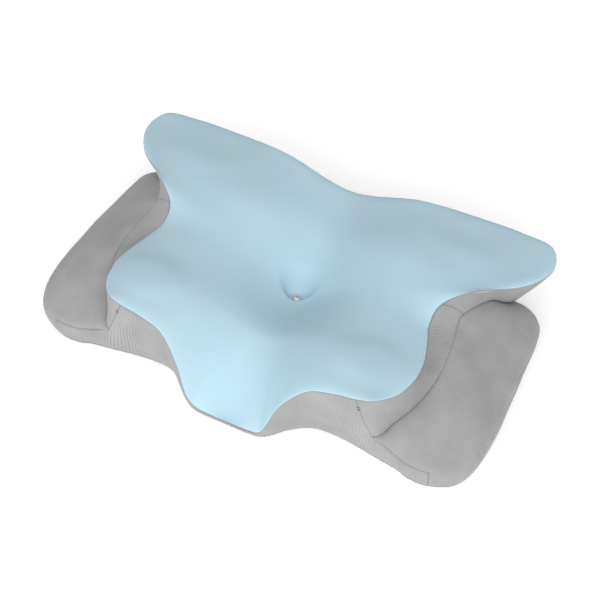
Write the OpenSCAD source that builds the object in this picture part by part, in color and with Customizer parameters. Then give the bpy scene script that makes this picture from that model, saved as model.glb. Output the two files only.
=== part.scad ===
// Contoured neck pillow: a moulded foam core in a liner and a zipped knit cover,
// with a press-stud that holds the cover down in the head bowl.
// Right is +X, the back wall faces +Y, up is +Z; the origin is the middle of the base.

/* [Overall size] */
// Width across the two arm rests
pillow_w = 640; // [580:10:700]
// Depth from the neck tongue to the back wall
pillow_d = 380; // [350:5:410]
// Height of the highest rim, at the root of each wing
pillow_h = 132; // [116:1:140]
// Thickness of the tongue at its front edge
tongue_edge_h = 10; // [9.5:0.5:14]

/* [Head bowl] */
// Height of the valley's floor where the head lies
bowl_h = 45; // [43:1:52]
// Height of the fabric under the button
seat_h = 37.5; // [34:0.5:40]
// Width of the funnel from the button out to the valley's floor
funnel_w = 30; // [20:1:45]
// Rise of the valley's floor to the neck roll
neck_rise = 25; // [15:1:32]
// Rise of the valley's floor to the back wall
back_rise = 40; // [25:1:45]
// Height of the shoulders on each side of the valley
shoulder_h = 114; // [100:1:118]
// Extra height of the wings and of the front lobes
hump_rise = 15; // [5:1:18]
// Distance over which the valley's sides climb
valley_reach = 68; // [55:1:80]

/* [Soft layers] */
// Thickness of the knit cover
cover_t = 2; // [1.4:0.1:2.2]
// Thickness of the liner round the foam
liner_t = 0.8; // [0.5:0.1:1]
// Gap between one layer and the next
layer_gap = 0.3; // [0.2:0.05:0.4]

/* [Zipper] */
// Length of the track between its two stops
zip_length = 380; // [300:10:384]
// Width of one tape
tape_w = 9; // [8:0.5:9.5]
// Position of the slider along the track, from closed at 0 to open at 1
zip_open = 0; // [0:0.05:1]

/* [Press-stud] */
// Diameter of the button's cap
cap_d = 12; // [10:0.5:13]
// Diameter of the hole through the foam under the button
foam_hole_d = 18; // [16:0.5:20]

/* [Hidden] */

blue = [0.72, 0.84, 0.88];
grey = [0.66, 0.66, 0.67];
steel = [0.78, 0.78, 0.8];

// ---- Rails: the four edge lines that run round the pillow ----
// One station a row, from the middle of the front round the right side to the middle
// of the back: rim of the top panel, top of the arm rest, outer edge of the arm rest,
// and the line on the ground. A station without an arm rest leaves the middle two out.
drawn = [640, 380, 132];
size = [pillow_w / drawn.x, pillow_d / drawn.y, pillow_h / drawn.z];
lip = tongue_edge_h / size.z;
zip_top = 28;
zip_base = 8;
zip_half = 200;
back_y = 184;
half = [
    wall([0, -189, lip], [0, -190]),
    wall([29, -189, lip], [29, -190]),
    wall([46, -189, lip + 5], [48, -188]),
    wall([57, -190, 37], [61, -179]),
    wall([73, -180, 77], [77, -162]),
    wall([102, -164, 106], [104, -146]),
    wall([137, -158, 115], [143, -144]),
    [[164, -156, 119], [189, -154, 54], [192, -155, 48], [200, -152, 0]],
    [[186, -149, 121], [206, -130, 62], [219, -160, 39], [225, -156, 0]],
    [[205, -124, 114], [221, -103, 71], [238, -166, 39], [241, -161, 0]],
    [[213, -89, 108], [230, -73, 81], [268, -166, 40], [267, -160, 0]],
    [[211, -57, 103], [233, -46, 89], [300, -146, 41], [299, -142, 0]],
    [[203, -28, 102], [230, -12, 94], [317, -98, 42], [313, -98, 0]],
    [[194, -1, 106], [225, 20, 98], [318, -16, 40], [313, -16, 0]],
    [[198, 27, 118], [225, 36, 100], [315, 50, 36], [310, 49, 0]],
    [[230, 56, 130], [242, 84, 85], [312, 97, 32], [308, 94, 0]],
    [[280, 98, 120], [256, 108, 62], [305, 124, 32], [300, 120, 0]],
    [[304, 145, 114], [263, 128, 46], [282, 138, 32], [278, 134, 0]],
    [[291, 182, 116], [250, 146, 40], [254, 144, 30], [253, 140, 0]],
    [[247, 190, 115], [222, 181, 32], [222, 181, 12], [220, 179, 0]],
    zipped(zip_half, 190, 116),
    zipped(106, 186, 115),
    zipped(40, 184, 95),
    zipped(0, 184, 87)
];
// The short seam across the notch's wall, the arm panel's two ends and the zipper's end
front_seam = 7;
corner_seam = 10;
notch_seam = 14;
arm_end = 18;
zip_end = 20;

function wall(rim, ground) =
    let (low = [ground.x, ground.y, 0])
    [rim, mix(rim, low, 0.4), mix(rim, low, 0.7), low];
function zipped(x, rim_y, rim_z) =
    [[x, rim_y, rim_z], [x, back_y, zip_top], [x, back_y, zip_base], [x, 182, 0]];
function mix(a, b, t) = a + (b - a) * t;
function fit(t, low, high) = max(low, min(high, t));
function smooth(t) = let (s = fit(t, 0, 1)) s * s * (3 - 2 * s);
function mirrored(station) = [for (p = station) [-p.x, p.y, p.z]];

controls = concat(half, [for (k = [len(half) - 2:-1:1]) mirrored(half[k])]);
// Stations drawn between one control station and the next
fineness = 2;
stations = len(controls) * fineness;

function spline(a, b, c, d, t) =
    (2 * b + (c - a) * t + (2 * a - 5 * b + 4 * c - d) * t * t
    + (3 * b - a - 3 * c + d) * t * t * t) / 2;
function rail(line, i) =
    let (
        n = len(controls),
        k = floor(i / fineness),
        p = [for (m = [-1:2]) controls[(k + m + n) % n][line]],
        q = spline(p[0], p[1], p[2], p[3], i / fineness - k)
    )
    [q.x * size.x, q.y * size.y, q.z * size.z];
rails = [for (line = [0:3]) [for (i = [0:stations - 1]) rail(line, i)]];

// ---- Head bowl ----
button_y = 12.5 * size.y;
button = [0, button_y];
neck_reach = 100 * size.y;
back_reach = 130 * size.y;
tongue_start = -100 * size.y;
hump_y = 100 * size.y;
hump_spread = 50 * size.y;
hole_r = foam_hole_d / 2;
seat_r = 7.5;
funnel_r = 22;
panel_slit = 0.3;
rim_pull = 8;

function bell(x) = exp(-x * x);
// Height of the valley's floor, along the middle of the pillow
function floor_z(y) =
    bowl_h + neck_rise * smooth((button_y - y) / neck_reach)
        + back_rise * smooth((y - button_y) / back_reach)
        - (bowl_h + neck_rise - tongue_edge_h)
            * pow(max(0, (y - tongue_start) / (rails[0][0].y - tongue_start)), 2);
// Height of the shoulders beside the valley, highest at the lobes and at the wings
function side_z(y) =
    shoulder_h + hump_rise * (bell((y - hump_y) / hump_spread) + bell((y + hump_y) / hump_spread));
function top_z(p, t, rim_z) =
    let (
        climb = 1 - bell(p.x / valley_reach),
        open = mix(floor_z(p.y), side_z(p.y), climb),
        rolled = mix(open, rim_z, pow(t, rim_pull))
    )
    mix(seat_h, rolled, smooth((norm(p - button) - seat_r) / funnel_w));

// ---- The grid: rings that spread over the top, down the walls and under the base ----
// Each top ring is a distance from the button or, from ring 3 on, a share of the way out.
top_shares = [0.2, 0.34, 0.5, 0.66, 0.82];
near_rings = 3;
rim_ring = near_rings + len(top_shares);
// Each wall ring: the rail that it starts from and how far on it is to the next one
wall_steps = [[0, 0], [0, 0.5], [1, 0], [1, 0.33], [1, 0.67], [2, 0], [2, 0.5], [3, 0]];
arm_ring = rim_ring + 2;
edge_ring = rim_ring + 5;
ground_ring = rim_ring + 7;
side_bulge = 2.5;
toggle_pocket_r = 18;
toggle_pocket_h = 6.5;
last_ring = ground_ring + 2;

function near_r(ring, edge_r) = [edge_r, hole_r + 1, funnel_r][ring];
function top_point(i, ring, edge_r, slit) =
    let (
        rim = rails[0][i],
        flat = [rim.x, rim.y] - button,
        away = ring < near_rings
            ? (near_r(ring, edge_r) + (ring == 2 ? slit : 0)) / norm(flat)
            : top_shares[ring - near_rings],
        p = button + flat * away
    )
    [p.x, p.y, top_z(p, away, rim.z)];
function wall_point(i, ring) =
    let (
        step = wall_steps[ring - rim_ring],
        a = rails[step[0]][i],
        b = rails[min(step[0] + 1, 3)][i],
        out = step == [2, 0.5] ? -side_bulge * arm_share(i) : 0
    )
    mix(a, b, step[1]) + out * inward(i, 3);
base_share = 0.55;
function base_point(i, ring) =
    let (
        ground = [rails[3][i].x, rails[3][i].y],
        flat = ground - button,
        p = button + (ring == last_ring ? toggle_pocket_r * flat / norm(flat) : base_share * flat)
    )
    [p.x, p.y, 0];
// 1 where a station has an arm rest and 0 where it has none
full_arm = 12;
function arm_share(i) =
    let (across = rails[1][i] - rails[2][i])
    fit(norm([across.x, across.y]) / full_arm, 0, 1);
// The level direction from a rail into the pillow
function inward(i, line) =
    let (
        along = rails[line][(i + 1) % stations] - rails[line][(i + stations - 1) % stations],
        level = [-along.y, along.x, 0]
    )
    level / norm(level);
// How far a ring's points move up for each millimetre of depth. On an arm rest they
// move down, and on a plain wall the points between the rim and the ground share it.
function lift(i, ring) =
    let (
        arm = arm_share(i),
        z = wall_point(i, ring).z,
        plain = 1 - 2 * z / rails[0][i].z
    )
    ring >= ground_ring ? 1 :
    beside_zip(i) && ring >= arm_ring && ring <= edge_ring ? 0 :
    ring > edge_ring ? mix(plain, 0, arm) :
    mix(plain, -1, arm);
// Extra depth behind the zipper, so that the slider's back plate has room
slider_room = 4;
past_zip = 0.6;
function beside_zip(i) =
    let (mid = len(controls) / 2)
    abs(i / fineness - mid) <= mid - zip_end + past_zip;
function zip_room(i, ring, behind) =
    behind && beside_zip(i) && ring >= arm_ring && ring <= edge_ring ? slider_room : 0;
// A point of the grid, depth below the pillow's outside
function grid_point(i, ring, depth, edge_r, slit, behind) =
    ring < rim_ring ? top_point(i, ring, edge_r, slit) - [0, 0, depth] :
    ring > ground_ring ? base_point(i, ring) + [0, 0, depth] :
    wall_point(i, ring)
        + (depth + zip_room(i, ring, behind)) * inward(i, wall_steps[ring - rim_ring][0])
        + [0, 0, depth * lift(i, ring)];
function layer(depth, edge_r, slit, behind) =
    [for (ring = [0:last_ring]) for (i = [0:stations - 1])
        grid_point(i, ring, depth, edge_r, slit, behind)];
function at(i, ring) = ring * stations + i % stations;

// Four corners as two triangles, seen from the side that faces out
function quad(a, b, c, d) = [[a, b, c], [a, c, d]];

// ---- Sheets: the cells that one piece of fabric covers, as a closed skin ----
function from_front(i) = let (k = (i + 0.5) / fineness, n = len(controls)) min(k, n - k);
function on_right(i) = (i + 0.5) / fineness < len(controls) / 2;
// Which piece of the cover a cell belongs to
function owner(i, ring) =
    let (
        k = from_front(i),
        side = on_right(i) ? "right" : "left"
    )
    ring < 2 ? "dimple" :
    ring < rim_ring ? "top" :
    ring >= ground_ring ? "bottom" :
    k > zip_end ? (ring < arm_ring ? "back" : ring < edge_ring ? "zip" : "bottom") :
    ring < arm_ring ? (k < front_seam ? "front" : k < notch_seam ? str(side, "_wall") : "back") :
    k < front_seam ? "front" :
    ring >= edge_ring && k < corner_seam ? "front" :
    k < arm_end ? str(side, "_arm") :
    "back";
function covers(name, i, ring) =
    ring >= 0 && ring < last_ring
        && (name == "all" || owner((i + stations) % stations, ring) == name);

module sheet(name, depth, thick, edge_r = 2.1, slit = 0, behind = false, closed = false) {
    inner = (last_ring + 1) * stations;
    points = concat(
        layer(depth, edge_r, slit, behind),
        layer(depth + thick, edge_r, slit, behind)
    );
    cells = [for (ring = [0:last_ring - 1]) for (i = [0:stations - 1])
        if (covers(name, i, ring)) [i, ring]];
    skin = [for (cell = cells)
        let (
            i = cell[0],
            ring = cell[1],
            a = at(i, ring),
            b = at(i + 1, ring),
            c = at(i + 1, ring + 1),
            d = at(i, ring + 1)
        )
        each concat(
            quad(a, b, c, d),
            quad(inner + c, inner + b, inner + a, inner + d),
            covers(name, i, ring - 1) ? [] : quad(b, a, inner + a, inner + b),
            covers(name, i, ring + 1) || (closed && ring + 1 == last_ring)
                ? [] : quad(c, inner + c, inner + d, d),
            covers(name, i - 1, ring) ? [] : quad(a, d, inner + d, inner + a),
            covers(name, i + 1, ring) ? [] : quad(b, inner + b, inner + c, c)
        )];
    middle = closed ? [
        [for (i = [0:stations - 1]) at(i, last_ring)],
        [for (i = [stations - 1:-1:0]) inner + at(i, last_ring)]
    ] : [];
    polyhedron(points, concat(skin, middle), convexity = 10);
}

// ---- Filling ----
foam_depth = cover_t + liner_t + 2 * layer_gap;

module foam_core() {
    skin = layer(foam_depth, hole_r, 0, true);
    // Two more rings make the pocket for the toggle under the hole
    pocket = [for (r = [toggle_pocket_r, hole_r]) for (i = [0:stations - 1])
        let (flat = [rails[3][i].x, rails[3][i].y] - button, p = button + r * flat / norm(flat))
        [p.x, p.y, foam_depth + toggle_pocket_h]];
    rings = last_ring + 3;
    cells = [for (ring = [0:rings - 1]) for (i = [0:stations - 1])
        let (next = (ring + 1) % rings)
        each quad(at(i, ring), at(i + 1, ring), at(i + 1, next), at(i, next))];
    color([0.95, 0.93, 0.86]) polyhedron(concat(skin, pocket), cells, convexity = 10);
}

module inner_liner() {
    color("white") sheet("all", cover_t + layer_gap, liner_t, edge_r = hole_r, behind = true);
}

// ---- Cover ----
module cover_panel(name, colour, slit = 0, closed = false) {
    color(colour) sheet(name, 0, cover_t, slit = slit, closed = closed);
}
module top_panel() { cover_panel("top", blue, slit = panel_slit); }
module dimple_panel() { cover_panel("dimple", blue); }
module right_wall_panel() { cover_panel("right_wall", grey); }
module left_wall_panel() { cover_panel("left_wall", grey); }
module right_arm_panel() { cover_panel("right_arm", grey); }
module left_arm_panel() { cover_panel("left_arm", grey); }
module front_gusset() { cover_panel("front", grey); }
module back_gusset() { cover_panel("back", grey); }
module bottom_panel() { cover_panel("bottom", grey, closed = true); }

// ---- Zipper, flat on the back wall ----
zip_z = (zip_top + zip_base) / 2 * size.z;
wall_y = back_y * size.y;
tape_t = 0.8;
tape_y = wall_y - 1;
teeth_t = 2.2;
teeth_w = 2.7;
teeth_gap = 2.6;
teeth_y = tape_y + tape_t / 2 - teeth_t / 2;
stop_w = 3;

// The strip of tape between the teeth and the edge of the opening
tape_strip = min(tape_w, (zip_top - zip_base) / 2 * size.z - teeth_gap / 2) - teeth_w - 0.3;
tape_half = max(zip_length / 2 + stop_w, zip_half * size.x - panel_slit);

module zip_tape(side) {
    low = side > 0 ? teeth_gap / 2 + teeth_w + 0.1 : -teeth_gap / 2 - teeth_w - 0.1 - tape_strip;
    color(grey) translate([-tape_half, tape_y, zip_z + low])
        cube([2 * tape_half, tape_t, tape_strip]);
}
module zip_teeth(side) {
    low = side > 0 ? teeth_gap / 2 : -teeth_gap / 2 - teeth_w;
    color("gray") translate([-zip_length / 2, teeth_y, zip_z + low])
        cube([zip_length, teeth_t, teeth_w]);
}
module zip_tape_upper() { zip_tape(1); }
module zip_tape_lower() { zip_tape(-1); }
module zip_teeth_upper() { zip_teeth(1); }
module zip_teeth_lower() { zip_teeth(-1); }
module zip_stops() {
    color(steel) for (side = [-1, 1])
        translate([side * (zip_length / 2 + stop_w / 2 + 0.1), teeth_y + teeth_t / 2, zip_z])
            cube([stop_w, 3.2, 2 * teeth_w + teeth_gap], center = true);
}

slider_l = 13;
slider_w = 11.4;
slider_plate = 1.2;
slider_run = zip_length - slider_l;
slider_x = slider_run / 2 * (1 - 2 * zip_open);
plate_gap = 0.3;
front_y = teeth_y + teeth_t + plate_gap;
rear_y = teeth_y - plate_gap - slider_plate;
pull_y = front_y + slider_plate + 1.3;
pull_r = 0.8;
pull_l = 26;
bridge_h = 2.6;

module zip_slider() {
    color(steel) translate([slider_x, 0, zip_z]) {
        for (y = [front_y, rear_y])
            translate([-slider_l / 2, y, -slider_w / 2])
                cube([slider_l, slider_plate, slider_w]);
        // The wedge between the two rows of teeth
        translate([-1.5, rear_y, -1])
            cube([3, front_y - rear_y + slider_plate, 2]);
        // The lips that keep the teeth in, outside and inside the tapes
        for (side = [-1, 1]) {
            lip_z = side > 0 ? slider_w / 2 - 1.2 : -slider_w / 2;
            translate([-slider_l / 2, tape_y + tape_t + 0.3, lip_z])
                cube([slider_l, front_y - tape_y - tape_t - 0.3, 1.2]);
            translate([-slider_l / 2, rear_y + slider_plate, lip_z])
                cube([slider_l, tape_y - 0.3 - rear_y - slider_plate, 1.2]);
        }
        // The bridge that the pull hangs on
        difference() {
            translate([-5, front_y + slider_plate, -1.2])
                cube([10, bridge_h + 1.2, 2.4]);
            translate([-3.5, front_y + slider_plate - 1, -2])
                cube([7, bridge_h + 1, 4]);
        }
        translate([-5, front_y + slider_plate - 0.5, -1.2])
            cube([1.5, 1, 2.4]);
        translate([3.5, front_y + slider_plate - 0.5, -1.2])
            cube([1.5, 1, 2.4]);
    }
}

module zip_pull_tab() {
    color(steel) translate([slider_x, pull_y, zip_z]) {
        translate([0, 0, -3.4])
            cylinder(h = 6.8, r = pull_r, $fn = 32);
        rotate([90, 0, 0])
            translate([0, 0, -0.6])
                linear_extrude(1.2)
                    difference() {
                        union() {
                            translate([-7.5, -3.4])
                                square([7.5, 6.8]);
                            translate([-pull_l + 3.4, -3.4])
                                square([pull_l - 9.9, 6.8]);
                            translate([-pull_l + 3.4, 0])
                                circle(3.4, $fn = 48);
                        }
                        translate([-6.2, -1.7])
                            square([7.2, 3.4]);
                        translate([-pull_l + 4.4, 0])
                            circle(1.6, $fn = 32);
                    }
    }
}

// ---- Press-stud in the middle of the bowl ----
seat_low = seat_h - cover_t;
cap_z = seat_h + 0.2;
stud_r = 2.4;
stud_slack = 0.05;
post_r = 1.8;

module on_button() {
    translate([0, button_y, 0]) children();
}
module snap_cap() {
    color(steel) on_button()
        rotate_extrude($fn = 64)
            polygon([
                [0, cap_z + 2.6], [cap_d * 0.2, cap_z + 2.45], [cap_d * 0.36, cap_z + 1.9],
                [cap_d * 0.46, cap_z + 1.1], [cap_d / 2, cap_z + 0.5], [cap_d / 2, cap_z],
                [post_r, cap_z], [post_r, seat_low - 1.6], [0, seat_low - 1.6]
            ]);
}
module snap_socket() {
    top = seat_low - 0.2;
    color(steel) on_button()
        difference() {
            translate([0, 0, top - 3.4])
                cylinder(h = 3.4, r = 5.5, $fn = 64);
            translate([0, 0, top - 4])
                cylinder(h = 2.4, r = stud_r + stud_slack, $fn = 64);
            translate([0, 0, top - 2])
                cylinder(h = 3, r = post_r + 0.03, $fn = 64);
        }
}
stud_base = seat_low - 5.4;
module snap_stud() {
    color(steel) on_button() {
        difference() {
            union() {
                translate([0, 0, stud_base])
                    cylinder(h = 1.7, r = 5.5, $fn = 64);
                translate([0, 0, stud_base + 1])
                    cylinder(h = 2.2, r = stud_r, $fn = 64);
            }
            translate([0, 0, stud_base - 1])
                cylinder(h = 2.7, r = 1.2, $fn = 48);
        }
    }
}
strap_t = 1.2;
strap_w = 9;
module snap_post() {
    color(steel) on_button() {
        translate([0, 0, stud_base - strap_t - 1.2])
            cylinder(h = 1.2, r = 4.2, $fn = 64);
        translate([0, 0, stud_base - strap_t - 0.5])
            cylinder(h = strap_t + 2, r = 1.2, $fn = 48);
    }
}
strap_foot = 4.4;
strap_half = 6;
module anchor_strap() {
    color("white") on_button()
        difference() {
            translate([-strap_w / 2, -strap_half, strap_foot])
                cube([strap_w, 2 * strap_half, stud_base - strap_foot]);
            translate([-strap_w, -strap_half + strap_t, strap_foot + strap_t])
                cube([2 * strap_w, 2 * (strap_half - strap_t), stud_base - strap_foot - 2 * strap_t]);
            translate([0, 0, stud_base - 3])
                cylinder(h = 5, r = 1.25, $fn = 48);
        }
}
module anchor_toggle() {
    color("white") translate([0, button_y, strap_foot + strap_t + 0.1])
        linear_extrude(3)
            hull() for (side = [-1, 1])
                translate([side * 11.5, 0])
                    circle(4, $fn = 48);
}

// ---- Label, sewn in at the zipper's upper edge ----
label_w = 24;
label_h = 20;
label_t = 0.4;
label_x = 146;
label_gap = 2;
module care_label() {
    color("white") translate([-label_x - label_w, wall_y + label_gap, zip_top * size.z + 0.2])
        cube([label_w, label_t, label_h]);
}

foam_core();
inner_liner();
top_panel();
dimple_panel();
right_wall_panel();
left_wall_panel();
right_arm_panel();
left_arm_panel();
front_gusset();
back_gusset();
bottom_panel();
zip_tape_upper();
zip_tape_lower();
zip_teeth_upper();
zip_teeth_lower();
zip_stops();
zip_slider();
zip_pull_tab();
snap_cap();
snap_socket();
snap_stud();
snap_post();
anchor_strap();
anchor_toggle();
care_label();
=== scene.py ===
"""The looks of a contoured neck pillow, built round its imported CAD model.

The cover is one surface: rings that spread from the button over the top, down the walls and
under the base, crossed by stations that run round the pillow. Each panel takes its own cells
of that grid and becomes a thin shell with sewn edges. Lengths are in metres.
"""
import math

import bpy
import numpy as np
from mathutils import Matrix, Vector, kdtree


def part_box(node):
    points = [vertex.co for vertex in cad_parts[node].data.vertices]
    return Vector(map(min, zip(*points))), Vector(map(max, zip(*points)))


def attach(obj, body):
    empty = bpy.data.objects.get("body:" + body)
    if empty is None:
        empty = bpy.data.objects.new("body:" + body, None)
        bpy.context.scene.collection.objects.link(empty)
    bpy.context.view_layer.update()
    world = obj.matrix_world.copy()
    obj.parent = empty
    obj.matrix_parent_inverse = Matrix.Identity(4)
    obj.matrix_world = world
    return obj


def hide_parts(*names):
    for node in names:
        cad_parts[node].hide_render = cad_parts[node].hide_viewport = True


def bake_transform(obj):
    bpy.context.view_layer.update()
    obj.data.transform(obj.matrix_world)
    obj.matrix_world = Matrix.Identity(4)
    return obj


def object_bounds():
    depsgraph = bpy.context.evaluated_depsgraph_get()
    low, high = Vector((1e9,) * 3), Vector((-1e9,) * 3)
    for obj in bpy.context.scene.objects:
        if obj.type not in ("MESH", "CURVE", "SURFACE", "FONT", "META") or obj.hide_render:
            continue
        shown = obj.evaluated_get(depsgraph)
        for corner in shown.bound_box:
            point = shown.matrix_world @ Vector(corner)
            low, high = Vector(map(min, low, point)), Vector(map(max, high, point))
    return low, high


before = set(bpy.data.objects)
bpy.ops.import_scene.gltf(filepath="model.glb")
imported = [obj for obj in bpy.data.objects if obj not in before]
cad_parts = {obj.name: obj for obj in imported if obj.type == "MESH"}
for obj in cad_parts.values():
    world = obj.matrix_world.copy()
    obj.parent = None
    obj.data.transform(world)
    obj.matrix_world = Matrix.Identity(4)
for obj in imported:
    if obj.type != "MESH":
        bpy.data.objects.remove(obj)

cad_low, cad_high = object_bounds()
MM = 0.001

# ---- Rails: the four edge lines, in millimetres, as the CAD model has them ----
# One station a row, from the middle of the front round the right side to the middle of the
# back: rim of the top panel, top of the arm rest, its outer edge, and the line on the ground.
# Most of these numbers are the rounded result of a least-squares fit to the photograph's
# outline, made by a separate program; report.md says so under its known faults.
LIP = 10


def wall(rim, ground):
    """A station without an arm rest: the middle two rails lie on the way down."""
    low = [*ground, 0]
    return [rim] + [[a + (b - a) * t for a, b in zip(rim, low)] for t in (0.4, 0.7)] + [low]


def zipped(x, rim_y, rim_z):
    """A station over the zipper, whose two edges are the middle two rails."""
    return [[x, rim_y, rim_z], [x, 184, 28], [x, 184, 8], [x, 182, 0]]


HALF = [
    wall([0, -189, LIP], [0, -190]),
    wall([29, -189, LIP], [29, -190]),
    wall([46, -189, LIP + 5], [48, -188]),
    wall([57, -190, 37], [61, -179]),
    wall([73, -180, 77], [77, -162]),
    wall([102, -164, 106], [104, -146]),
    wall([137, -158, 115], [143, -144]),
    [[164, -156, 119], [189, -154, 54], [192, -155, 48], [200, -152, 0]],
    [[186, -149, 121], [206, -130, 62], [219, -160, 39], [225, -156, 0]],
    [[205, -124, 114], [221, -103, 71], [238, -166, 39], [241, -161, 0]],
    [[213, -89, 108], [230, -73, 81], [268, -166, 40], [267, -160, 0]],
    [[211, -57, 103], [233, -46, 89], [300, -146, 41], [299, -142, 0]],
    [[203, -28, 102], [230, -12, 94], [317, -98, 42], [313, -98, 0]],
    [[194, -1, 106], [225, 20, 98], [318, -16, 40], [313, -16, 0]],
    [[198, 27, 118], [225, 36, 100], [315, 50, 36], [310, 49, 0]],
    [[230, 56, 130], [242, 84, 85], [312, 97, 32], [308, 94, 0]],
    [[280, 98, 120], [256, 108, 62], [305, 124, 32], [300, 120, 0]],
    [[304, 145, 114], [263, 128, 46], [282, 138, 32], [278, 134, 0]],
    [[291, 182, 116], [250, 146, 40], [254, 144, 30], [253, 140, 0]],
    [[247, 190, 115], [222, 181, 32], [222, 181, 12], [220, 179, 0]],
    zipped(200, 190, 116),
    zipped(106, 186, 115),
    zipped(40, 184, 95),
    zipped(0, 184, 87),
]
# Where the cross seams fall, in stations from the middle of the front
FRONT_SEAM, CORNER_SEAM, NOTCH_SEAM, ARM_END, ZIP_END = 7, 10, 14, 18, 20

mirrored = [[[-x, y, z] for x, y, z in row] for row in HALF[-2:0:-1]]
CONTROLS = np.array(HALF + mirrored, float)
TURN = len(CONTROLS)


def unit(v):
    """The vectors along the last axis, each made one long."""
    return v / (np.linalg.norm(v, axis=-1, keepdims=True) + 1e-12)


def rail(line, u):
    """Points of a rail at the stations u, on a Catmull-Rom spline through its control points."""
    k = np.floor(u).astype(int)
    t = (u - k)[:, None]
    a, b, c, d = (CONTROLS[(k + m) % TURN, line] for m in (-1, 0, 1, 2))
    return (
        2 * b + (c - a) * t + (2 * a - 5 * b + 4 * c - d) * t**2
        + (3 * b - a - 3 * c + d) * t**3
    ) / 2


# The CAD model may be stretched from the drawn size, so the scale comes from its box.
drawn = np.concatenate([rail(line, np.arange(0, TURN, 0.5)) for line in range(4)])
drawn_size = np.ptp(drawn, axis=0)
STRETCH = np.array(cad_high - cad_low) / (drawn_size * MM)

# ---- Top surface ----
cap_low, cap_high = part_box("snap_cap")
BUTTON = np.array([(cap_low.x + cap_high.x) / 2, (cap_low.y + cap_high.y) / 2])
CAP_R = (cap_high.x - cap_low.x) / 2
SEAT_R, SEAT_H = 5.9 * MM, 37.5 * MM
# The pit round the button is steep in front and long behind
FUNNEL_FRONT, FUNNEL_BACK = 10 * MM, 32 * MM
BOWL_H, NECK_RISE, BACK_RISE = 45 * MM, 26 * MM, 41 * MM
NECK_REACH, BACK_REACH, TONGUE_START = 100 * MM, 130 * MM, -85 * MM
SHOULDER_H = 115 * MM
# Middle, rise and half depth of the two swells along the shoulders: the lobes and the wings
SWELLS = ((-108 * MM, 8 * MM, 55 * MM), (85 * MM, 10 * MM, 60 * MM))
VALLEY_REACH, RIM_PULL, BACK_SOFT = 68 * MM, 8, 0.13
TONGUE_POWER, BACK_POWER, HASTE = 1.5, 2.3, 0.75
DIMPLE_R = 22.15 * MM
# Low pads moulded into the foam: middle, half width and half depth of the lobes' and the wings'
PADS = (((157 * MM, -99 * MM), (64 * MM, 46 * MM)), ((190 * MM, 147 * MM), (100 * MM, 62 * MM)))
PAD_RISE, PAD_EDGE = 2.2 * MM, 0.62


def bell(x):
    return np.exp(-x * x)


def smooth(t):
    s = np.clip(t, 0, 1)
    return s * s * (3 - 2 * s)


def quick(t, share):
    """Like smooth, but for a larger share with a faster start and a longer end."""
    s = np.clip(t, 0, 1)
    return mix(smooth(s), 1 - (1 - s) ** 2, HASTE * share)


def mix(a, b, t):
    return a + (b - a) * t


def floor_z(y):
    """Height of the valley's floor, along the middle of the pillow."""
    front = -190 * MM * STRETCH[1]
    tongue = np.maximum(0, (y - TONGUE_START) / (front - TONGUE_START)) ** TONGUE_POWER
    behind = (y - BUTTON[1]) / BACK_REACH
    behind = np.clip((behind + np.hypot(behind, BACK_SOFT)) / 2, 0, 1)
    back = 1 - (1 - behind) ** BACK_POWER
    return (
        BOWL_H + NECK_RISE * smooth((BUTTON[1] - y) / NECK_REACH) + BACK_RISE * back
        - (BOWL_H + NECK_RISE - LIP * MM) * tongue
    )


def side_z(y):
    """Height of the shoulders, highest at the front lobes and at the wings."""
    return SHOULDER_H + sum(rise * bell((y - at) / spread) for at, rise, spread in SWELLS)


def pads_z(x, y):
    """Rise of the four low pads, each an ellipse with a soft edge."""
    rise = 0
    for (pad_x, pad_y), (half_x, half_y) in PADS:
        out = np.hypot((np.abs(x) - pad_x) / half_x, (y - pad_y) / half_y)
        rise = rise + PAD_RISE * smooth((1 - out) / PAD_EDGE)
    return rise


def open_z(x, y):
    """Height of the top away from its rim and the button."""
    return mix(floor_z(y), side_z(y), 1 - bell(x / VALLEY_REACH)) + pads_z(x, y)


def funnelled(x, y, z):
    """The same height, drawn down to the button's seat close to the button."""
    out = np.hypot(x - BUTTON[0], y - BUTTON[1])
    behind = (1 + (y - BUTTON[1]) / out) / 2
    width = mix(FUNNEL_FRONT, FUNNEL_BACK, smooth(behind))
    return mix(SEAT_H, z, quick((out - SEAT_R) / width, behind))


# ---- The grid ----
ROLL_W, ROLL_DROP = 12 * MM, 3 * MM
FOOT_W, FOOT_RISE = 8 * MM, 4 * MM
# The largest roll and foot, as shares of the wall's height, and the least slope at the rim
ROLL_SHARE, FOOT_SHARE, LEAST_ACROSS = 0.25, 0.3, 0.35
EDGE_ROUND, HOLE_R = 9 * MM, 2.1 * MM
# How far the foam pushes each face out between its seams. The wings' walls are the fullest,
# and the walls beside the arm rests are hollow.
WALL_SWELL, WING_SWELL, ARM_SWELL, SIDE_SWELL = 4.5 * MM, 10 * MM, 6 * MM, 2 * MM
HOLLOW, FULLNESS = 2.5 * MM, 0.6
# Faces shorter than this, and walls lower than this, swell less
SHORT_FACE, LOW_WALL = 30 * MM, 60 * MM
# Middle and half length of the full stretch, and the top's smoothing, in stations
WING_TIP, WING_LENGTH, RELAX = 16.6, 1.6, 0.7
NEAR_EDGE = np.array([0, 0.4, 0.9, 1.6, 2.6, 4, 6, 9, 13, 18]) * MM


def eased(n):
    """n + 1 shares from 0 to 1, closest together at both ends."""
    return (1 - np.cos(np.pi * np.arange(n + 1) / n)) / 2


def quarter(q):
    """1 at q = 0, falling to 0 at q = 1 along a quarter of an ellipse."""
    q = np.clip(q, 0, 1)
    return 1 - np.sqrt(1 - (1 - q) ** 2)


def padded_out(f):
    """Profile of a full, firm wall between two seams: steep beside them, flat between."""
    return np.sin(np.pi * f) ** FULLNESS


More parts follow.
